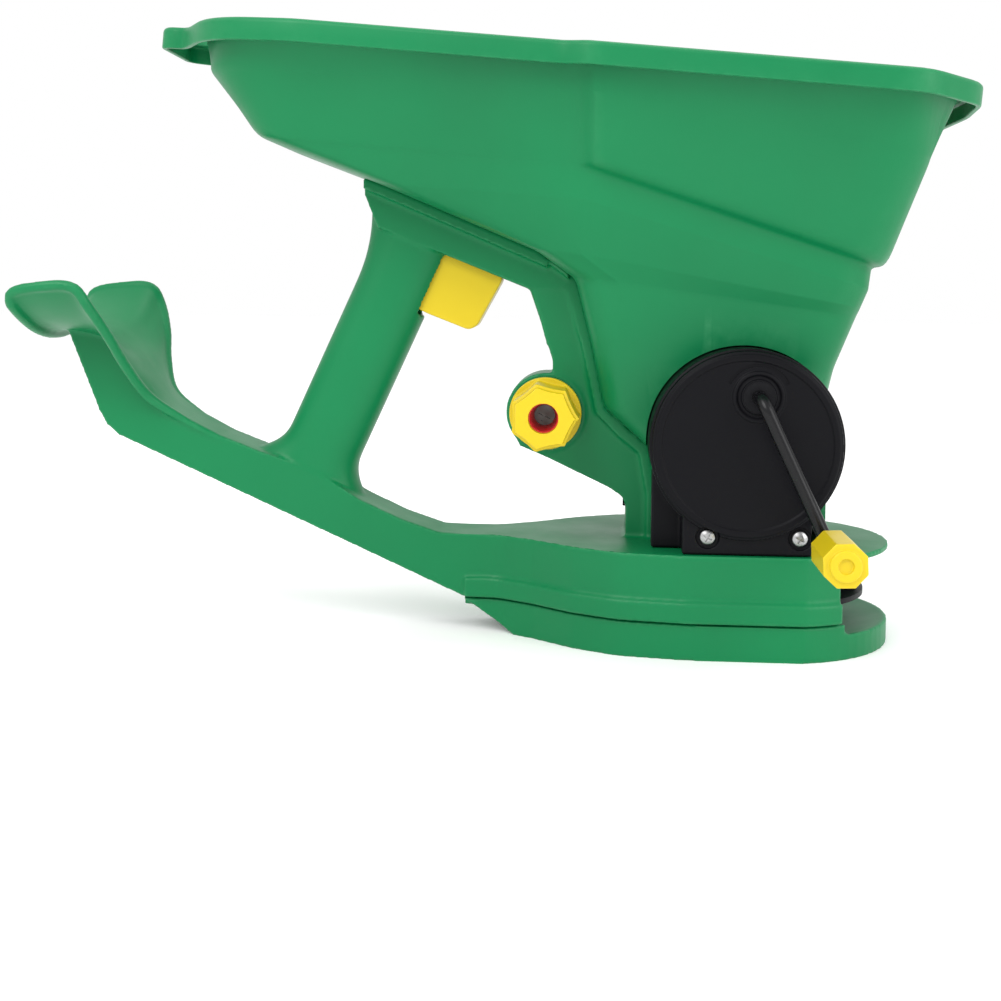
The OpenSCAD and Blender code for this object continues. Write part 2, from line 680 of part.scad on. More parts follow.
module trigger() color(yellow) difference() {
    union() {
        side(rounded([[-158, 152, 1.5], [-152.5, 149.5, 1.5], [-133, 142, 4], [-129, 144.5, 4],
                      [-116, 168.5, 4], [-143, 179.5, 1.5], [-150, 177, 1.5]]), -7.4, 7.4);
        side([[-148, 176], [-130, 172.5], [-94, 158.5], [-92.5, 156.5], [-83.4, 156.5],
              [-83.4, 165.4], [-86, 167.4], [-92.5, 168.6], [-97, 171], [-135, 186.5], [-148, 184]],
             2.5, 4.9);
    }
    // fork for the lever's pin
    side([[-89.3, 159], [-84.7, 159], [-84.7, 170], [-89.3, 170]], 0, 8);
    along_y(-156, 164, 3.4, -3.4, 3.4);
}

spring_turns = 5;

module trigger_spring() color(steel) {
    steps = spring_turns * 14;
    x0 = -177.8;
    x1 = -158.6;
    skin([for (i = [0 : steps]) let (a = i * 360 / 14, x = x0 + (x1 - x0) * i / steps)
        [for (b = [0 : 60 : 300]) [x + 0.5 * sin(b), (3.2 + 0.5 * cos(b)) * cos(a),
                                   163 + (3.2 + 0.5 * cos(b)) * sin(a)]]]);
}

// ---- dial ----------------------------------------------------------------------------

dial_y = [-46, -15];

function lobed(r, depth, n) = [for (a = [0 : 4 : 356]) (r - depth * pow(abs(sin(a * n / 2)), 0.7))
    * [cos(a), sin(a)]];

module dial_knob() color(yellow) difference() {
    union() {
        translate([dial_x, 0, dial_z]) {
            side(lobed(16, 2.2, dial_lobes), dial_y[0] + 3, dial_y[1] - 4);
            side(lobed(14.4, 2, dial_lobes), dial_y[0], dial_y[0] + 3);
        }
        along_y(dial_x, dial_z, 16.8, dial_y[1] - 5, dial_y[1], 64);
    }
    along_y(dial_x, dial_z, 6.8, dial_y[0] - 1, dial_y[1] - 9);
    along_y(dial_x, dial_z, 4, -60, 0, 32);
}

module dial_drum() color("#b4232a") difference() {
    along_y(dial_x, dial_z, 15.2, -14.6, -8.6, 64);
    along_y(dial_x, dial_z, 4, -60, 0, 32);
}

module dial_cam() color("gainsboro") {
    along_y(dial_x, dial_z, 4, dial_y[1] - 7, 12.4, 32);
    translate([dial_x, 0, dial_z]) side([for (a = [0 : 10 : 350])
        (9 + 6.6 * a / 350) * [cos(a + 60), sin(a + 60)]], 3.2, 7.6);
}

module dial_screw() color(steel) difference() {
    along_y(dial_x, dial_z, 5, dial_y[1] - 11.6, dial_y[1] - 9, 32);
    for (a = [0, 90]) translate([dial_x, dial_y[1] - 11.6, dial_z]) rotate([0, a + 25, 0])
        cube([6, 2, 1.1], center = true);
}

// ---- output --------------------------------------------------------------------------

hopper();
hopper_rim();
gear_skirt();
link_cover();
top_rail();
grip();
front_strut();
arm();
armrest();
base_housing();
lower_plate();
gear_case();
gear_cover();
case_screws();
crank_bush();
crank_arm();
crank_gear();
crank_knob();
knob_screw();
crown_gear();
crown_axle();
shaft_gear();
drive_shaft();
upper_bush();
lower_bush();
agitator();
impeller();
impeller_nut();
shutter();
gate_lever();
lever_pin();
trigger();
trigger_spring();
dial_knob();
dial_drum();
dial_cam();
dial_screw();
frame_screws();
cover_screw();
plate_screws();
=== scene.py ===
import math
import bmesh
import bpy
import numpy as np
from mathutils import Matrix, Vector


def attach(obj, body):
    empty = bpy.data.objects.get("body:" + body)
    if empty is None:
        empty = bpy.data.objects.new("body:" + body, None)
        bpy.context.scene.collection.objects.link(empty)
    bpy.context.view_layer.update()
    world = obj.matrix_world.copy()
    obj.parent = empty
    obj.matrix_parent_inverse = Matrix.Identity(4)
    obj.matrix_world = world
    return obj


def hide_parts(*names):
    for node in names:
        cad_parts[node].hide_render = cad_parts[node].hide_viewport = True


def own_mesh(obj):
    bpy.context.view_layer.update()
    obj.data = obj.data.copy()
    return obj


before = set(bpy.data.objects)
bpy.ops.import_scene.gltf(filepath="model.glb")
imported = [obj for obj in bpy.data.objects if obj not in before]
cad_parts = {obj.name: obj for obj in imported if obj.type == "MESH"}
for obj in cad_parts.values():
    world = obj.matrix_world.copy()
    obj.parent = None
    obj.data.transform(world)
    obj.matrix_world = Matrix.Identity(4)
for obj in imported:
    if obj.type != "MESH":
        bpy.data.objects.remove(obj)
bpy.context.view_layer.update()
MM = 0.001          # shapes are given in millimetres, Blender's objects are in metres
SHARP = 32          # degrees between two faces from which their edge is drawn sharp


# ---- shape helpers, in millimetres ---------------------------------------------------

def rounded(points, n=8, closed=True):
    """Points of (u, v, radius) joined with arcs."""
    out, k = [], len(points)
    for i, (u, v, r) in enumerate(points):
        c = np.array([u, v], float)
        if r <= 0 or (not closed and i in (0, k - 1)):
            out.append(c)
            continue
        a = np.array(points[i - 1][:2], float)
        b = np.array(points[(i + 1) % k][:2], float)
        p, q = (a - c) / np.linalg.norm(a - c), (b - c) / np.linalg.norm(b - c)
        half = math.acos(max(-1, min(1, float(p @ q)))) / 2
        m = c + (p + q) / np.linalg.norm(p + q) * r / math.sin(half)
        s, e = c + p * r / math.tan(half) - m, c + q * r / math.tan(half) - m
        a0, turn = math.atan2(s[1], s[0]), math.atan2(s[0] * e[1] - s[1] * e[0], s @ e)
        out += [m + r * np.array([math.cos(a0 + turn * t / n), math.sin(a0 + turn * t / n)])
                for t in range(n + 1)]
    return np.array(out)


def mirrored(half):
    """A closed outline of (u, v, radius) from the half on its +v side."""
    return half + [(u, -v, r) for u, v, r in reversed(half)]


def resample(path, n):
    """n + 1 points spaced evenly along an open path."""
    d = np.concatenate([[0], np.cumsum(np.linalg.norm(np.diff(path, axis=0), axis=1))])
    t = np.linspace(0, d[-1], n + 1)
    return np.stack([np.interp(t, d, path[:, i]) for i in range(path.shape[1])], 1)


def inset(outline, d):
    """A closed outline moved inwards by d."""
    e = np.roll(outline, -1, 0) - outline
    e /= np.maximum(np.linalg.norm(e, axis=1), 1e-9)[:, None]
    left = np.stack([-e[:, 1], e[:, 0]], 1)
    m = left + np.roll(left, 1, 0)
    m /= np.maximum((m * left).sum(1), 0.5)[:, None]
    x, y = outline[:, 0], outline[:, 1]
    turn = np.sign((x * np.roll(y, -1) - y * np.roll(x, -1)).sum())
    return outline + m * d * turn


def skin(rings, loop=False):
    """Vertices and faces through rings of equal length, capped or joined end to end."""
    n, m = len(rings[0]), len(rings)
    verts = np.concatenate([np.asarray(r, float) for r in rings])
    faces = [(j * n + i, j * n + (i + 1) % n, (j + 1) % m * n + (i + 1) % n, (j + 1) % m * n + i)
             for j in range(m if loop else m - 1) for i in range(n)]
    if not loop:
        faces += [tuple(range(n - 1, -1, -1)), tuple((m - 1) * n + i for i in range(n))]
    return verts, faces


def upright(u, v, h):
    """A ring in a level plane."""
    return np.stack([u, v, np.full_like(u, h)], 1)


def sideways(u, v, h):
    """A ring in a plane across Y."""
    return np.stack([u, np.full_like(u, h), v], 1)


def slab(outline, h0, h1, place=upright):
    """An extruded outline. Upright takes (x, y) and z; sideways takes (x, z) and y."""
    return skin([place(*outline.T, h) for h in (h0, h1)])


def prism(edge, y0, y1):
    """An outline of (x, z) pairs, extruded along Y."""
    return skin([[(x, y, z) for x, z in edge] for y in (y0, y1)])


def box(x0, x1, y0, y1, z0, z1):
    """A block between two limits on each axis."""
    return skin([[(x0, y0, z), (x1, y0, z), (x1, y1, z), (x0, y1, z)] for z in (z0, z1)])


def circle(cx, cy, r, n=96):
    """n points evenly round a centre."""
    a = np.arange(n) / n * 2 * math.pi
    return np.stack([cx + r * np.cos(a), cy + r * np.sin(a)], 1)


def turned(profile, cx, cz, n):
    """A solid of revolution from (y, radius) pairs, about a line along Y."""
    return skin([sideways(*circle(cx, cz, max(r, 1e-3), n).T, y) for y, r in profile])


def ring(cx, cz, r0, r1, y0, y1, n=96):
    """A flat ring about a line along Y."""
    corners = ((y1, r0), (y0, r0), (y0, r1), (y1, r1))
    return skin([sideways(*circle(cx, cz, r, n).T, y) for y, r in corners], loop=True)


def soft(points, n=5):
    """An open profile of (y, radius, fillet) as plain pairs."""
    return [tuple(p) for p in rounded(points, n, closed=False)]


def tube(path, radii, n):
    """A round bar along 3D points."""
    path = np.asarray(path, float)
    t = np.gradient(path, axis=0)
    t /= np.linalg.norm(t, axis=1)[:, None]
    ref = np.array([1.0, 0, 0])
    rings = []
    for p, d, r in zip(path, t, np.broadcast_to(radii, len(path))):
        u = ref - d * (ref @ d)
        u /= np.linalg.norm(u)
        v = np.cross(d, u)
        a = np.arange(n) / n * 2 * math.pi
        rings.append(p + r * (np.outer(np.cos(a), u) + np.outer(np.sin(a), v)))
        ref = u
    return skin(rings)


def moved(part, matrix):
    """A part carried by a matrix."""
    v, f = part
    m = np.array(matrix)
    return v @ m[:3, :3].T + m[:3, 3], f


def mesh_of(*parts):
    """One mesh from several (vertices, faces)."""
    bm = bmesh.new()
    for verts, faces in parts:
        made = [bm.verts.new(tuple(float(c) * MM for c in v)) for v in verts]
        for f in faces:
            if len(set(f)) > 2:
                try:
                    bm.faces.new([made[i] for i in f])
                except ValueError:
                    pass
    bmesh.ops.recalc_face_normals(bm, faces=bm.faces)
    me = bpy.data.meshes.new("m")
    bm.to_mesh(me)
    bm.free()
    return me


def thing(name, me, sharp=SHARP):
    """A smooth shaded object in the scene."""
    me.name = name
    me.polygons.foreach_set("use_smooth", [True] * len(me.polygons))
    me.set_sharp_from_angle(angle=math.radians(sharp))
    ob = bpy.data.objects.new(name, me)
    bpy.context.scene.collection.objects.link(ob)
    return ob


def applied(ob, sharp=SHARP):
    """Bakes the object's modifiers into its mesh."""
    bpy.context.view_layer.update()
    me = bpy.data.meshes.new_from_object(ob.evaluated_get(bpy.context.evaluated_depsgraph_get()))
    ob.modifiers.clear()
    ob.data = me
    me.polygons.foreach_set("use_smooth", [True] * len(me.polygons))
    me.set_sharp_from_angle(angle=math.radians(sharp))
    return ob


def cut(ob, op, other, sharp=SHARP):
    """Boolean with another object, which is then removed."""
    m = ob.modifiers.new("b", "BOOLEAN")
    m.operation, m.object, m.solver = op, other, "EXACT"
    applied(ob, sharp)
    bpy.data.objects.remove(other)


def carve(ob, *parts, sharp=SHARP):
    """Takes closed parts out of an object, one after the other."""
    for part in parts:
        cut(ob, "DIFFERENCE", thing("tool", mesh_of(part)), sharp)


SHRINK, SWELL = 0.5, -0.46      # smoothing in pairs, which keeps the volume


def moulded(ob, voxel, passes):
    """Melts overlapping closed shapes into one skin with softened edges."""
    m = ob.modifiers.new("v", "REMESH")
    m.mode, m.voxel_size, m.adaptivity = "VOXEL", voxel * MM, 0
    applied(ob, 60)
    me = ob.data
    n = len(me.vertices)
    co = np.zeros(n * 3)
    me.vertices.foreach_get("co", co)
    co = co.reshape(-1, 3)
    ed = np.zeros(len(me.edges) * 2, int)
    me.edges.foreach_get("vertices", ed)
    a, b = ed.reshape(-1, 2).T
    count = np.bincount(a, minlength=n) + np.bincount(b, minlength=n)
    for i in range(passes * 2):
        near = np.stack([np.bincount(a, co[b, k], n) + np.bincount(b, co[a, k], n)
                         for k in range(3)], 1) / np.maximum(count, 1)[:, None]
        co += (near - co) * (SHRINK if i % 2 == 0 else SWELL)
    me.vertices.foreach_set("co", co.ravel())
    me.update()
    return ob


# ---- materials -----------------------------------------------------------------------

GRAIN_DEPTH = 0.12 * MM         # mould texture
SINK_DEPTH = 0.9 * MM           # slow waves in a moulded wall
BRUSH_DEPTH = 0.06 * MM         # tool marks on metal


def plastic(name, colour, rough=0.4, grain=0.25, shade=0.08, gloss=0.3, edge_highlight=0.3):
    """Moulded plastic: faint colour drift, uneven gloss, fine mould texture and a painted
    highlight along convex edges.
    """
    mat = bpy.data.materials.new(name)
    mat.use_nodes = True
    nt = mat.node_tree
    bsdf = nt.nodes["Principled BSDF"]
    bsdf.inputs["Specular IOR Level"].default_value = gloss
    new, link = nt.nodes.new, nt.links.new
    coord = new("ShaderNodeTexCoord")

    def noise(scale, detail, rough_n=0.5):
        n = new("ShaderNodeTexNoise")
        n.inputs["Scale"].default_value = scale
        n.inputs["Detail"].default_value = detail
        n.inputs["Roughness"].default_value = rough_n
        link(coord.outputs["Object"], n.inputs["Vector"])
        return n

    def ramp(source, lo, hi, a, b):
        r = new("ShaderNodeMapRange")
        r.inputs["From Min"].default_value, r.inputs["From Max"].default_value = lo, hi
        r.inputs["To Min"].default_value, r.inputs["To Max"].default_value = a, b
        link(source, r.inputs["Value"])
        return r.outputs["Result"]

    drift = noise(9, 3)
    dark = [c * (1 - shade) for c in colour]
    light = [min(1, c * (1 + shade)) for c in colour]
    mix = new("ShaderNodeMix")
    mix.data_type = "RGBA"
    mix.inputs["A"].default_value = (*dark, 1)
    mix.inputs["B"].default_value = (*light, 1)
    link(ramp(drift.outputs["Fac"], 0.3, 0.7, 0, 1), mix.inputs["Factor"])
    # Painted highlight: convex edges, picked out by pointiness and broken up by noise, take a
    # lighter copy of the base colour
    geo = new("ShaderNodeNewGeometry")
    highlight_mask = new("ShaderNodeMath")
    highlight_mask.operation = "MULTIPLY"
    link(ramp(geo.outputs["Pointiness"], 0.515, 0.56, 0, edge_highlight), highlight_mask.inputs[0])
    link(ramp(noise(160, 4, 0.65).outputs["Fac"], 0.35, 0.7, 0.25, 1), highlight_mask.inputs[1])
    highlight_mix = new("ShaderNodeMix")
    highlight_mix.data_type = "RGBA"
    link(highlight_mask.outputs[0], highlight_mix.inputs["Factor"])
    link(mix.outputs["Result"], highlight_mix.inputs["A"])
    highlight_mix.inputs["B"].default_value = (*[min(1, c * 1.5 + 0.07) for c in colour], 1)
    link(highlight_mix.outputs["Result"], bsdf.inputs["Base Color"])
    link(ramp(noise(38, 5).outputs["Fac"], 0.25, 0.75, rough - 0.06, rough + 0.08),
         bsdf.inputs["Roughness"])
    bump = new("ShaderNodeBump")
    bump.inputs["Strength"].default_value = grain
    bump.inputs["Distance"].default_value = GRAIN_DEPTH
    link(noise(1700, 2).outputs["Fac"], bump.inputs["Height"])
    wave = new("ShaderNodeBump")
    wave.inputs["Strength"].default_value = 0.16
    wave.inputs["Distance"].default_value = SINK_DEPTH
    link(noise(22, 2).outputs["Fac"], wave.inputs["Height"])
    link(wave.outputs["Normal"], bump.inputs["Normal"])
    link(bump.outputs["Normal"], bsdf.inputs["Normal"])
    return mat


def metal(name, colour, rough):
    """Plain metal with uneven gloss and fine tool marks."""
    mat = bpy.data.materials.new(name)
    mat.use_nodes = True
    nt = mat.node_tree
    bsdf = nt.nodes["Principled BSDF"]
    bsdf.inputs["Metallic"].default_value = 1.0
    bsdf.inputs["Base Color"].default_value = (*colour, 1)
    coord = nt.nodes.new("ShaderNodeTexCoord")
    n = nt.nodes.new("ShaderNodeTexNoise")
    n.inputs["Scale"].default_value = 260
    n.inputs["Detail"].default_value = 4
    nt.links.new(coord.outputs["Object"], n.inputs["Vector"])
    r = nt.nodes.new("ShaderNodeMapRange")
    r.inputs["From Min"].default_value, r.inputs["From Max"].default_value = 0.3, 0.7
    r.inputs["To Min"].default_value, r.inputs["To Max"].default_value = rough - 0.06, rough + 0.1
    nt.links.new(n.outputs["Fac"], r.inputs["Value"])
    nt.links.new(r.outputs["Result"], bsdf.inputs["Roughness"])
    b = nt.nodes.new("ShaderNodeBump")
    b.inputs["Strength"].default_value = 0.25
    b.inputs["Distance"].default_value = BRUSH_DEPTH
    nt.links.new(n.outputs["Fac"], b.inputs["Height"])
    nt.links.new(b.outputs["Normal"], bsdf.inputs["Normal"])
    return mat


GREEN = plastic("green_plastic", (0.001, 0.170, 0.055), rough=0.40, gloss=0.24)
YELLOW = plastic("yellow_plastic", (0.62, 0.46, 0.008), rough=0.36, shade=0.04, edge_highlight=0.2)
BLACK = plastic("black_plastic", (0.0040, 0.0040, 0.0055), rough=0.42, shade=0.15, gloss=0.10,
                edge_highlight=0.06)
RED = plastic("red_plastic", (0.55, 0.012, 0.02), rough=0.35, shade=0.04)
WHITE = plastic("white_paint", (0.82, 0.82, 0.80), rough=0.5, edge_highlight=0.0)
ROD = plastic("rod_coating", (0.004, 0.004, 0.005), rough=0.25, grain=0.12, gloss=0.25,
              edge_highlight=0.08)
GEAR = plastic("gear_plastic", (0.62, 0.61, 0.57), rough=0.45, shade=0.03)
STEEL = metal("zinc_steel", (0.40, 0.40, 0.40), 0.34)
DARK = metal("dark_steel", (0.10, 0.095, 0.09), 0.38)
BRASS = metal("bush_brass", (0.72, 0.54, 0.26), 0.30)


def finish_piece(ob, body, mat, slot, *nodes):
    """Gives a piece its material, its body and the CAD nodes that it stands in for."""
    ob.data.materials.clear()
    ob.data.materials.append(mat)
    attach(ob, body)
    if nodes:
        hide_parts(*nodes)


# ---- hopper --------------------------------------------------------------------------

TILT = math.radians(5.05)       # the rim falls towards the front
RIM_Z = 258.2                   # top of the rim over the drive shaft
WALL = 2.4
FLOOR_Z = 70                    # top of the floor
FLOOR_UNDER = 67.5
STEP_X = -78                    # where the hopper widens towards the front
STEP_REACH = 4                  # from the middle of that step to either end
TAIL_LENGTH = 24                # least distance from the rear wall to the step
INNER_LIFT = 0.7                # rise of an inner row's edges, as a share of its inset
RIM_UNDER = 2.2                 # depth at which the wall meets the rim
LEDGE_SLOPE = 0.24              # fall of the ledge per millimetre towards the front
BREAK_REACH = 3.2               # how far a rounded break reaches up and down the wall
SOFT_SHARE, FIRM_SHARE = 0.45, 0.15     # reach at the ledge, as a share of the row spacing

# Rows down the wall: depth under the rim, share of the ledge's slope, extra half width in front
# of the step, rear x, rear half width, mid half width, front x, front half width, rear radius,
# front radius.
ROWS = [
    (20, 0.4, 5.5, -252.5, 55, 72, 70, 66, 38, 20),
    (48, 1, 5.5, -228, 48, 61, 55, 52, 14, 18),
    (50.5, 1, 0, -220, 47, 60, 49.5, 47, 14, 18),
    (64, 0.9, 0, -173, 46, 57, 48, 47, 12, 16),
    (88, 0.4, 0, -100, 43, 48, 45, 46, 10, 16),
    (99, 0.2, 0, -82.5, 40, 43, 43.5, 43, 14, 15),
    (128, 0, 0, -75, 35, 36, 35, 37, 13, 14),
    (157, 0, 0, -69, 31, 31, 29, 32, 12, 12),
    (173, 0, 0, -48.2, 29, 30, 30, 30, 8, 10),
    (200, 0, 0, -42.4, 29, 29, 35, 29, 5, 8),
]
LEDGE_ROWS = (2, 3)             # the ledge's edges, counted from the rim
COUNTS = (18, 26, 8, 34, 26)    # points on the nose, front side, step, rear side and tail


def ring_points(front, step_a, step_b, rear):
    """A closed ring from four runs of its left half, each resampled to a fixed count."""
    q = np.linspace(0, 1, 9)
    blend = np.column_stack([q, 0.5 * q + 0.5 * q * q * (3 - 2 * q)])
    runs = [*front, step_a + (step_b - step_a) * blend, *rear]
    half = [resample(r, n)[:-1] for r, n in zip(runs, COUNTS)] + [runs[-1][-1:]]
    half = np.vstack(half)
    return np.vstack([half, half[-2:0:-1] * [1, -1]])


def wall_ring(row, t):
    """A row of the wall, drawn inwards by t."""
    d, ledge, extra, rx, rw, mw, fx, fw, rr, fr = row
    x1 = max(STEP_X, rx + TAIL_LENGTH)
    a = np.array([x1 + STEP_REACH + t, mw + extra - t])
    b = np.array([x1 - STEP_REACH + t, mw - t])
    f = rounded([(fx - t, 0, 0), (fx - t, fw - t, max(1, fr - t)), (*a, 0)], 12, closed=False)
    r = rounded([(*b, 0), (rx + t, rw - t, max(1, rr - t)), (rx + t, 0, 0)], 12, closed=False)
    p = ring_points((f[:8], f[7:]), a, b, (r[:8], r[7:]))
    fall = ledge * LEDGE_SLOPE * np.maximum(0, p[:, 0] - x1)
    depth = np.maximum(RIM_UNDER, d - INNER_LIFT * t + fall)
    return np.column_stack([p, RIM_Z - p[:, 0] * math.tan(TILT) - depth])


def split(path, near):
    """An open path in two, at its point closest to a place."""
    i = int(np.argmin(np.linalg.norm(path - near, axis=1)))
    return path[:i + 1], path[i:]


# Half of the rim's outline in (x, y, radius): up to the step, behind it, then either the plain
# end or the hanging tab
RIM_FRONT = [(94, 0, 0), (94, 24, 40), (89, 67, 20), (62, 92.6, 20), (-77, 89, 0)]
RIM_REAR = [(-89, 83.4, 0), (-205, 79, 40), (-245, 66, 50)]
RIM_TAIL = [(-266.5, 24, 50), (-266.5, 0, 0)]
RIM_TAB = [(-262, 33, 9), (-266, 26.5, 4), (-278, 23.5, 7), (-278, 0, 0)]
FRONT_CORNER, REAR_CORNER = (76, 80), (-243, 63)


def rim_ring(d, depth, tab=False):
    """The rim's outline moved inwards by d, at a depth under the rim's top face."""
    f = rounded(RIM_FRONT, 10, closed=False)
    r = rounded(RIM_REAR + (RIM_TAB if tab else RIM_TAIL), 10, closed=False)
    p = inset(ring_points(split(f, FRONT_CORNER), f[-1], r[0], split(r, REAR_CORNER)), d)
    c, s = math.cos(TILT), math.sin(TILT)
    return np.column_stack([c * p[:, 0] - s * depth, p[:, 1], RIM_Z - s * p[:, 0] - c * depth])


def wall(t, floor, top):
    """Rings down a wall from the rim, with rounded breaks between the rows."""
    rows = [top] + [wall_ring(r, t) for r in ROWS]
    out = [rows[0]]
    for i in range(1, len(rows) - 1):
        p, a, b = rows[i], rows[i - 1] - rows[i], rows[i + 1] - rows[i]
        sa, sb = (min(SOFT_SHARE, BREAK_REACH / max(1, float(np.linalg.norm(e, axis=1).max())))
                  for e in (a, b))
        if i == LEDGE_ROWS[0]:
            sa, sb = FIRM_SHARE, SOFT_SHARE
        elif i == LEDGE_ROWS[1]:
            sa, sb = SOFT_SHARE, FIRM_SHARE
        out += [p + (1 - q) ** 2 * sa * a + q ** 2 * sb * b for q in (0, 0.25, 0.5, 0.75, 1)]
    out.append(rows[-1])
    return [np.column_stack([r[:, :2], np.maximum(floor, r[:, 2])]) for r in out]


def quarter(n):
    """n + 1 angles from 0 to 90 degrees."""
    return [math.pi / 2 * k / n for k in range(n + 1)]


# The rim runs down its inner face, round its lower edge, up its outer face, over its rounded top
# edge and down into the mouth. Each ring is an inset and a depth.
RIM_ROUND, MOUTH_ROUND = 2.4, 1.8
MOUTH_INSET = 8.6               # width of the rim's top face
outer = wall(0, FLOOR_UNDER, rim_ring(8.0, RIM_UNDER))
inner = wall(WALL, FLOOR_Z, rim_ring(MOUTH_INSET + MOUTH_ROUND, MOUTH_ROUND))
band = [rim_ring(d, depth, tab=True) for d, depth in (
    (3.4, RIM_UNDER), (2.4, 3.2), (2.2, 9.6), (1.9, 10), (0.5, 10), (0.1, 9.7), (0, 9.2))]
band += [rim_ring(RIM_ROUND * (1 - math.cos(a)), RIM_ROUND * (1 - math.sin(a)), tab=True)
         for a in quarter(5)]
band += [rim_ring(MOUTH_INSET + MOUTH_ROUND * math.sin(a), MOUTH_ROUND * (1 - math.cos(a)))
         for a in quarter(4)]
hopper = thing("hopper_shell", mesh_of(skin(outer[::-1] + band + inner[1:])), 40)

# The pocket that takes the round gear case: a cup kept inside the hopper, then hollowed out.
POCKET = (-6.4, 94.5)
CASE_R = 42.5
POCKET_Y = -18.7                # the pocket's end face
CUP_Y = -16.7                   # the same face on the hopper's inside
CUP_WALL, CASE_ROOM = 3.1, 0.7
cup = thing("cup", mesh_of(turned(
    soft([(-60, CASE_R + CUP_WALL, 0), (CUP_Y, CASE_R + CUP_WALL, 2.5), (CUP_Y, 0, 0)], 6),
    *POCKET, 128)))
room = thing("room", mesh_of(skin(wall(0.5, FLOOR_UNDER + 1, rim_ring(8.4, 2.4))[::-1])))
cut(cup, "INTERSECT", room)
cut(hopper, "UNION", cup)

# That pocket, the tab's slot, the drive shaft's hole and the feed port
tab_slot = rounded(mirrored([(-262, 13, 5.4), (-273.5, 13, 5.4)]), 8)
rim_plane = Matrix.Translation((0, 0, RIM_Z)) @ Matrix.Rotation(TILT, 4, "Y")
carve(hopper,
      turned(soft([(-80, CASE_R + CASE_ROOM, 0), (POCKET_Y, CASE_R + CASE_ROOM, 1.2),
                   (POCKET_Y, 0, 0)], 5), *POCKET, 128),
      moved(slab(tab_slot, -6, 6), rim_plane),
      slab(circle(0, 0, 6, 40), 60, 80),
      box(-36, -25, -7.5, 7.5, 60, 80), sharp=30)
finish_piece(hopper, "frame", GREEN, "green_moulding", "hopper", "hopper_rim")


# ---- frame moulding ------------------------------------------------------------------

def copy_of(*nodes):
    """One mesh with the shapes of several CAD nodes, where they are at rest."""
    bm = bmesh.new()
    for n in nodes:
        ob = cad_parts[n]
        me = ob.data.copy()
        me.transform(ob.matrix_world)
        bm.from_mesh(me)
        bpy.data.meshes.remove(me)
    bmesh.ops.remove_doubles(bm, verts=bm.verts, dist=1e-6)
    me = bpy.data.meshes.new("m")
    bm.to_mesh(me)
    bm.free()
    return me


def joined(me, *parts):
    """Adds closed parts to a mesh."""
    bm = bmesh.new()
    bm.from_mesh(me)
    extra = mesh_of(*parts)
    bm.from_mesh(extra)
    bpy.data.meshes.remove(extra)
    bm.to_mesh(me)
    bm.free()
    return me


def spline(rows, n):
    """Rows of numbers with n smooth steps from each to the next."""
    p = np.array(rows, float)
    out = []
    for i in range(len(p) - 1):
        a, b, c, d = p[max(i - 1, 0)], p[i], p[i + 1], p[min(i + 2, len(p) - 1)]
        out += [0.5 * (2 * b + (c - a) * t + (2 * a - 5 * b + 4 * c - d) * t ** 2
                       + (3 * b - a - 3 * c + d) * t ** 3) for t in np.arange(n) / n]
    return out + [p[-1]]


# Rows along the armrest: x at the middle and at the wings, half width, height at the middle and
# at the wings.
REST = [(-336, -338, 51, 140, 155), (-333, -336, 54, 143.5, 160), (-322, -325, 56, 143.5, 162.5),
        (-308, -308, 56.5, 140.5, 163), (-300, -301, 54, 135, 154), (-292, -295, 44, 127.5, 140),
        (-287, -291, 32, 119, 126), (-280, -284, 20, 108.5, 111), (-270, -270, 15.2, 100.8, 100.8),
        (-262, -262, 15, 96.3, 96.3), (-250, -250, 14.8, 90.2, 90.2)]
REST_T = 4.3                    # thickness of the armrest
HEM_R = 2.5                     # radius of its rounded edge, at its fullest
HEM_DROP = 2.0                  # from the top face to the middle of that edge
HEM_STEPS = 150
ACROSS = 41                     # points across it


def rest_line(r, y):
    """A point of a row, for y from -1 to 1 across the armrest."""
    k = abs(y) ** 2.2
    return [r[0] + (r[1] - r[0]) * k, r[2] * y, r[3] + (r[4] - r[3]) * k]


saddle, hems = [], []
for r in spline(REST, 5)[::-1]:
    top = np.array([rest_line(r, y) for y in np.linspace(-1, 1, ACROSS)])
    saddle.append(np.vstack([top, top[::-1] - [0, 0, REST_T]]))
    hems.append((top[0], top[-1]))
hem = [h[0] for h in hems] + list(saddle[-1][1:ACROSS - 1]) + [h[1] for h in hems[::-1]]
hem = resample(np.array(hem) - [0, 0, HEM_DROP], HEM_STEPS)
hem_r = HEM_R * np.clip(1.25 - np.abs(np.linspace(-1, 1, HEM_STEPS + 1)) ** 6, 0.25, 1)

# Outlines in (x, z): the side wall that closes the strut against the hopper's rear, and the
# raised edge along the strut's front, which continues the rail's lip
WEB = [(-44, 46.4), (-44, 66), (-47.5, 89.0), (-68.4, 107.0), (-74.4, 136.5), (-81.5, 165.5),
       (-86, 163), (-78.6, 138), (-72.5, 106), (-66, 96), (-54.5, 87), (-52, 82), (-48, 66),
       (-48, 46.4)]
BORDER = [(-98, 178.3), (-85, 169.2), (-81.5, 165.5), (-74.4, 136.5), (-68.4, 107.0), (-58, 97.6),
          (-47.5, 89.0), (-43.6, 66), (-43.6, 46.8), (-48.6, 46.8), (-48.6, 66), (-52.3, 85.6),
          (-62.5, 93.8), (-72.6, 104.0), (-79.6, 135.6), (-86.5, 160.5), (-98, 171)]
# Lines in (x, z) under the hopper's trough and along the top of the arm, for filled seams
TROUGH = [(-181.6, 212.6), (-173, 209.5), (-100, 179.0), (-86, 169.0)]
ARM_TOP = [(-323, 139.4), (-310, 136.6), (-302, 131.4), (-289, 117), (-283, 108.7)]


def seam(line, up, y0, y1):
    """Fills the seam along a line, from 2 mm under it to a height over it."""
    return prism([(x, z + up) for x, z in line] + [(x, z - 2) for x, z in reversed(line)], y0, y1)


def on_both(inner, outer):
    """The two spans of y between an inner and an outer half width."""
    return (-outer, -inner), (inner, outer)


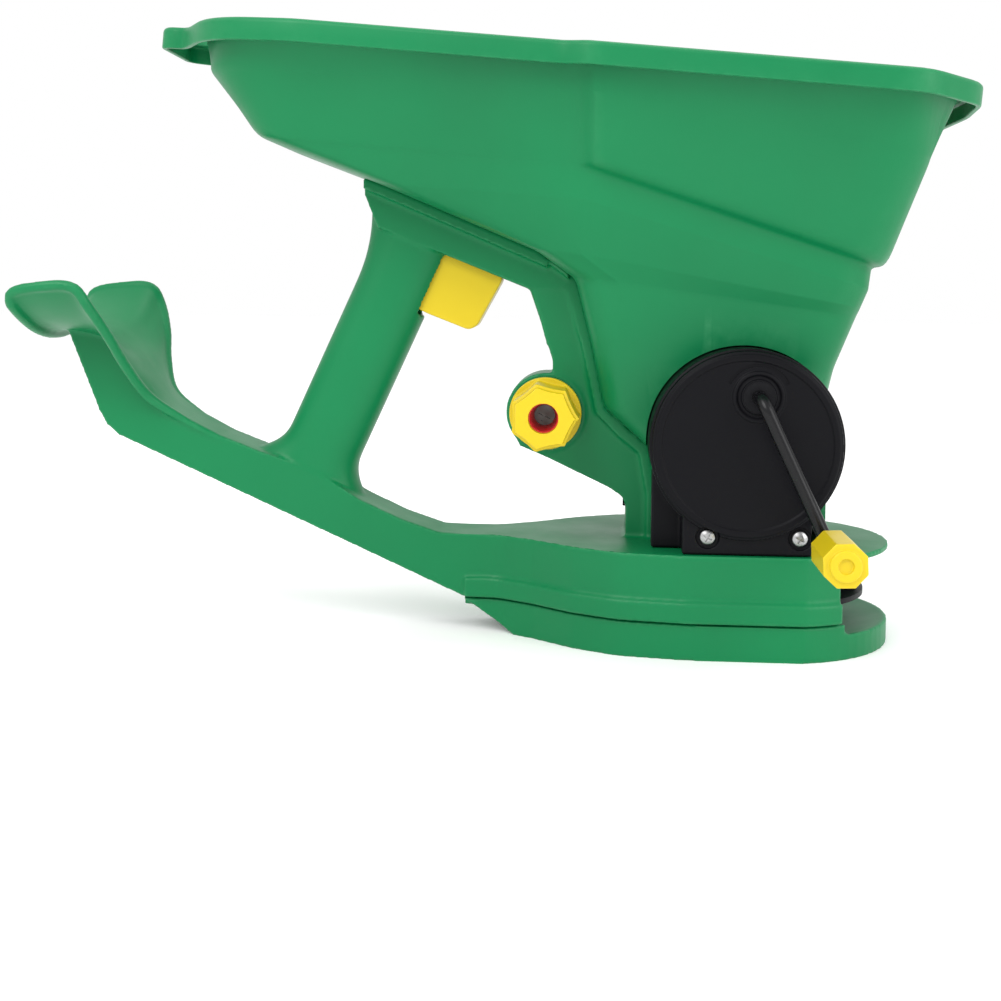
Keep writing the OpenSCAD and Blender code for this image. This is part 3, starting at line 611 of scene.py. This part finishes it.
GRIP = Matrix.Translation((-206, 0, 80)) @ Matrix.Rotation(math.radians(24.3), 4, "Y")
GRIP_LONG, GRIP_WIDE = 18.4, 14.6       # half sizes of its section
GRIP_POWER = 0.85                       # 1 is an ellipse, less is squarer


def grip_arc(push, angles, t, swell=0.0):
    """Part of the grip's section at a height t, longer by push and swollen all round."""
    a = np.radians(angles)
    c, s = np.cos(a), np.sin(a)
    x = (GRIP_LONG + swell + push) * np.sign(c) * np.abs(c) ** GRIP_POWER
    y = (GRIP_WIDE + swell) * np.sign(s) * np.abs(s) ** GRIP_POWER
    return np.column_stack([x, y, np.full_like(x, t)])


def grip_foot():
    """The flared foot where the grip grows out of the arm."""
    rings = []
    for t in np.linspace(-11, 10, 13):
        flare = 9.0 * max(0, 1 - max(t + 7, 0) / 17) ** 2.3
        rings.append(grip_arc(flare, np.arange(0, 360, 6), t))
    return moved(skin(rings), GRIP)


def grip_top():
    """The rear of the grip, flowing out to the end of the rail."""
    rings, rear = [], np.arange(100, 261, 8)
    for t in np.linspace(84, 119, 12):
        out = grip_arc(7.5 * ((t - 84) / 35) ** 2.2, rear, t)
        rings.append(np.vstack([out, grip_arc(0, rear, t, -2.0)[::-1]]))
    return moved(skin(rings), GRIP)


NOSE_X, NOSE_R = 4, 60.5        # middle and radius of the base's round front
# The base's side wall from the round front to the arm, in (x, y, radius)
BASE_SIDE = [(-32, 58.5, 40), (-62, 53.5, 30), (-82, 42.5, 30), (-101, 26.5, 30),
             (-118, 15.6, 20), (-133.5, 15, 0)]


def wall_strip(side, outward, inward, z0, z1):
    """A strip that follows the base's side wall from the outlet to the arm."""
    arc = [(NOSE_X + NOSE_R * math.cos(a), NOSE_R * math.sin(a), 0)
           for a in np.radians(np.linspace(58.5, 75.2, 8))]
    path = rounded(arc + BASE_SIDE, 8, closed=False)
    t = np.gradient(path, axis=0)
    t /= np.linalg.norm(t, axis=1)[:, None]
    away = np.stack([t[:, 1], -t[:, 0]], 1)
    plan = np.vstack([path + away * outward, (path + away * inward)[::-1]]) * [1, side]
    return skin([np.column_stack([plan, np.full(len(plan), z)]) for z in (z0, z1)])


def shoulder(side):
    """Widens the top of the strut to the rail's width."""
    return skin([[(x, side * y, z) for x, y in ((x0, 10.8), (x1, 10.8), (x1, w), (x0, w))]
                 for x0, x1, w, z in ((-103.5, -85.5, 14.9, 163.5), (-96, -78, 12.9, 136))])


# Half widths: inside and outside of the strut's walls and of what is added to them
STRUT_IN, STRUT_OUT, BORDER_OUT = 10.7, 12.9, 15.2
fill = [
    *[prism(BORDER, *y) for y in on_both(STRUT_IN, BORDER_OUT)[::-1]],
    *[wall_strip(side, 2.0, -1.0, 16.4, 25.5) for side in (1, -1)],
    shoulder(1), shoulder(-1),
    box(-58, -46.5, -STRUT_OUT, STRUT_OUT, 44.5, 47.6),         # foot of the strut
    *[box(-103.5, -86, *y, 159.5, 163.5) for y in on_both(5.6, STRUT_OUT)[::-1]],
    *[prism(WEB, *y) for y in on_both(STRUT_IN, STRUT_OUT)],
    *[seam(TROUGH, 0.7, *y) for y in on_both(8.4, 18.9)],
    *[seam(ARM_TOP, 3.0, *y) for y in on_both(12.6, 15)],
    skin(saddle), tube(hem, hem_r, 14), grip_foot(), grip_top(),
    *[turned([(y, 3), (y + 0.6, 3)], -84, 128, 24) for y in (-13.1, 12.55)],    # pin caps
]
moulding = thing("frame_moulding", joined(copy_of("top_rail", "grip", "front_strut", "arm",
                                                  "base_housing"), *fill))
moulded(moulding, 1.0, 5)
finish_piece(moulding, "frame", GREEN, "green_moulding", "top_rail", "grip", "front_strut", "arm",
             "armrest", "base_housing")

# Copies of single CAD nodes with softened edges: voxel size in millimetres, smoothing passes
for name, node, body, voxel, passes, mat in (
        ("lower_tray", "lower_plate", "frame", 0.9, 3, GREEN),
        ("link_housing", "link_cover", "frame", 0.6, 4, GREEN),
        ("case_shell", "gear_case", "frame", 0.6, 3, BLACK),
        ("dial_grip", "dial_knob", "dial", 0.4, 3, YELLOW),
        ("trigger_grip", "trigger", "trigger", 0.5, 3, YELLOW),
        ("crank_grip", "crank_knob", "handle", 0.35, 3, YELLOW)):
    me = copy_of(node)
    if node == "crank_knob":            # a cap in the knob's screw hole
        me = joined(me, turned([(-111.6, 3.4), (-110.75, 3.4)], 27.16, 53.46, 32))
    if node == "lower_plate":
        me = joined(me, *[wall_strip(k, -2.7, -4.3, 12, 18.6) for k in (1, -1)])
    piece = moulded(thing(name, me), voxel, passes)
    finish_piece(piece, body, mat, mat.name.replace("plastic", "moulding"), node)

# ---- materials of the CAD nodes ------------------------------------------------------

WEARS = {
    "gear_skirt": GREEN, "crank_bush": BLACK, "impeller": BLACK, "gate_lever": BLACK,
    "crank_arm": ROD, "agitator": YELLOW, "shutter": YELLOW, "dial_drum": RED,
    "crank_gear": GEAR, "crown_gear": GEAR, "shaft_gear": GEAR, "dial_cam": GEAR,
    "upper_bush": BRASS, "lower_bush": BRASS, "dial_screw": DARK, "knob_screw": DARK,
}
for node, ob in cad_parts.items():
    if not ob.hide_render:
        for place in ob.material_slots:
            place.material = WEARS.get(node, STEEL)

# ---- gear case, dial and spring ------------------------------------------------------

# Cover of the gear case, with a raised rim, a ring round the crank and an arc groove
CRANK = (-2, 116)               # the crank's axis, in (x, z)
arc = np.radians(np.linspace(25, 155, 40))
groove = np.vstack([np.array(CRANK) + np.stack([np.cos(a), np.sin(a)], 1) * r
                    for a, r in ((arc, 14.6), (arc[::-1], 13.2))])
cover = thing("case_face", joined(copy_of("gear_cover"),
                                  ring(*POCKET, CASE_R - 5.2, CASE_R - 2.6, -57.7, -55, 128),
                                  ring(*CRANK, 9.6, 11.2, -57.9, -56)))
moulded(cover, 0.42, 2)
carve(cover, slab(groove, -60, -56.5, sideways))
finish_piece(cover, "frame", BLACK, "black_moulding", "gear_cover")

# Screws of the gear case, with domed heads and crossed slots
SCREW = soft([(-38, 0, 0), (-38, 1.5, 0), (-53.6, 1.5, 0), (-53.6, 3.5, 0.4), (-54.9, 3.4, 0.9),
              (-55.7, 1.6, 1.5), (-55.8, 0, 0)], 5)
SCREW_PLACES = (-23, 54), (17, 54)
for i, (x, z) in enumerate(SCREW_PLACES):
    screw = thing("case_screw_%d" % (i + 1), mesh_of(turned(SCREW, x, z, 40)))
    for turn in (30, 120):
        across = Matrix.Translation((x, 0, z)) @ Matrix.Rotation(math.radians(turn), 4, "Y")
        carve(screw, moved(box(-2.0, 2.0, -57, -54.5, -0.42, 0.42), across))
    finish_piece(screw, "frame", STEEL, "screw_steel", *(["case_screws"] if i == 0 else []))

DIAL = (-96, 104)               # the dial's axis, in (x, z)
DRUM_R = 15.24                  # where the digits' backs lie
DIGIT_Y, DIGIT_SIZE, DIGIT_RAISE = -11.4, 6.4, 0.06


def digit(text, turn):
    """A figure wrapped on the drum's rim, turned from the -X side upwards."""
    curve = bpy.data.curves.new("digit", "FONT")
    curve.body, curve.size, curve.extrude = text, DIGIT_SIZE, DIGIT_RAISE
    curve.align_x, curve.align_y = "CENTER", "CENTER"
    ob = bpy.data.objects.new("digit", curve)
    bpy.context.scene.collection.objects.link(ob)
    bpy.context.view_layer.update()
    me = bpy.data.meshes.new_from_object(ob.evaluated_get(bpy.context.evaluated_depsgraph_get()))
    v = np.array([p.co for p in me.vertices])
    faces = [tuple(f.vertices) for f in me.polygons]
    bpy.data.objects.remove(ob)
    bpy.data.meshes.remove(me)
    a, r = math.radians(turn) + v[:, 1] / 15.2, DRUM_R + v[:, 2]
    x, z = DIAL[0] - r * np.cos(a), DIAL[1] + r * np.sin(a)
    return np.column_stack([x, DIGIT_Y - v[:, 0], z]), faces


# Return spring behind the trigger
COIL_R, COIL_LENGTH, COIL_STEPS, STEPS_PER_TURN = 3.2, 18.8, 120, 24
turns = [2 * math.pi * k / STEPS_PER_TURN for k in range(COIL_STEPS + 1)]
coil = [(-177.6 + COIL_LENGTH * k / COIL_STEPS, COIL_R * math.cos(a), 163 + COIL_R * math.sin(a))
        for k, a in enumerate(turns)]
spring = thing("return_spring", mesh_of(tube(coil, 0.5, 10)))
finish_piece(spring, "frame", STEEL, "screw_steel", "trigger_spring")
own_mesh(spring)

digits = thing("dial_digits", mesh_of(*[digit(str(k), 35 + 36 * (k - 5)) for k in range(1, 10)]))
finish_piece(digits, "dial", WHITE, "red_moulding")

# Red lining of the dial's sight hole
liner = thing("dial_liner", mesh_of(skin([sideways(*circle(*DIAL, r, 48).T, y) for y, r in (
    (-41, 6.9), (-24.1, 6.9), (-24.1, 4.4), (-41, 6.3))], loop=True)))
finish_piece(liner, "dial", RED, "red_moulding")

# ---- camera, floor and light ---------------------------------------------------------

# The camera looks along +Y, a little down and turned, at a point near the object's middle.
AIM = Vector((-142, 0, 140))
DISTANCE = 685.969
SIDESTEP, LOWERED = 21.413, 4.834       # to the picture's right and down
AZ, EL, ROLL = (math.radians(a) for a in (4.062, 2.418, 0.546))
level = Vector((math.cos(AZ), math.sin(AZ), 0))
ahead = Vector((-math.sin(AZ) * math.cos(EL), math.cos(AZ) * math.cos(EL), -math.sin(EL)))
plumb = ahead.cross(level)
right = math.cos(ROLL) * level - math.sin(ROLL) * plumb
down = math.sin(ROLL) * level + math.cos(ROLL) * plumb
centre = (AIM + right * SIDESTEP + down * LOWERED - ahead * DISTANCE) * MM
cam_data = bpy.data.cameras.new("camera")
cam_data.sensor_width, cam_data.lens = 36, 51.414
cam_data.shift_x, cam_data.shift_y = 0.0041, -0.1567
cam_data.clip_start = 0.01
camera = bpy.data.objects.new("camera", cam_data)
facing = Matrix((right, -down, -ahead)).transposed().to_4x4()
camera.matrix_world = Matrix.Translation(centre) @ facing
bpy.context.scene.collection.objects.link(camera)
bpy.context.scene.camera = camera
bpy.context.scene.view_settings.view_transform = "Standard"

REACH = 6                       # metres from the middle of the floor to its edge
floor_data = bpy.data.meshes.new("floor")
floor_data.from_pydata([(-REACH, -REACH, 0), (REACH, -REACH, 0), (REACH, REACH, 0),
                        (-REACH, REACH, 0)], [], [(0, 1, 2, 3)])
floor = bpy.data.objects.new("floor", floor_data)
paper = bpy.data.materials.new("paper")
paper.use_nodes = True
sheet = paper.node_tree.nodes["Principled BSDF"].inputs
sheet["Base Color"].default_value = (0.96, 0.96, 0.96, 1)
sheet["Roughness"].default_value = 0.9
sheet["Emission Color"].default_value = (1, 1, 1, 1)
sheet["Emission Strength"].default_value = 0.05      # lifts the far floor to the sky's white
floor_data.materials.append(paper)
bpy.context.scene.collection.objects.link(floor)

world = bpy.data.worlds.new("studio")
world.use_nodes = True
world.node_tree.nodes["Background"].inputs["Color"].default_value = (1, 1, 1, 1)
world.node_tree.nodes["Background"].inputs["Strength"].default_value = 1.0
bpy.context.scene.world = world


def softbox(name, place, aim, width, height, power):
    """A rectangular lamp, in metres and watts."""
    data = bpy.data.lights.new(name, "AREA")
    data.shape, data.size, data.size_y, data.energy = "RECTANGLE", width, height, power
    lamp = bpy.data.objects.new(name, data)
    lamp.location = place
    lamp.rotation_euler = (Vector(aim) - Vector(place)).to_track_quat("-Z", "Y").to_euler()
    bpy.context.scene.collection.objects.link(lamp)


softbox("key", (-0.75, -0.95, 1.15), (-0.1, 0, 0.12), 0.9, 0.9, 13)
softbox("side", (0.95, -0.7, 0.55), (-0.1, 0, 0.12), 0.7, 0.9, 6)
softbox("top", (0.1, 0.2, 1.3), (-0.05, 0, 0.15), 1.0, 0.8, 5)
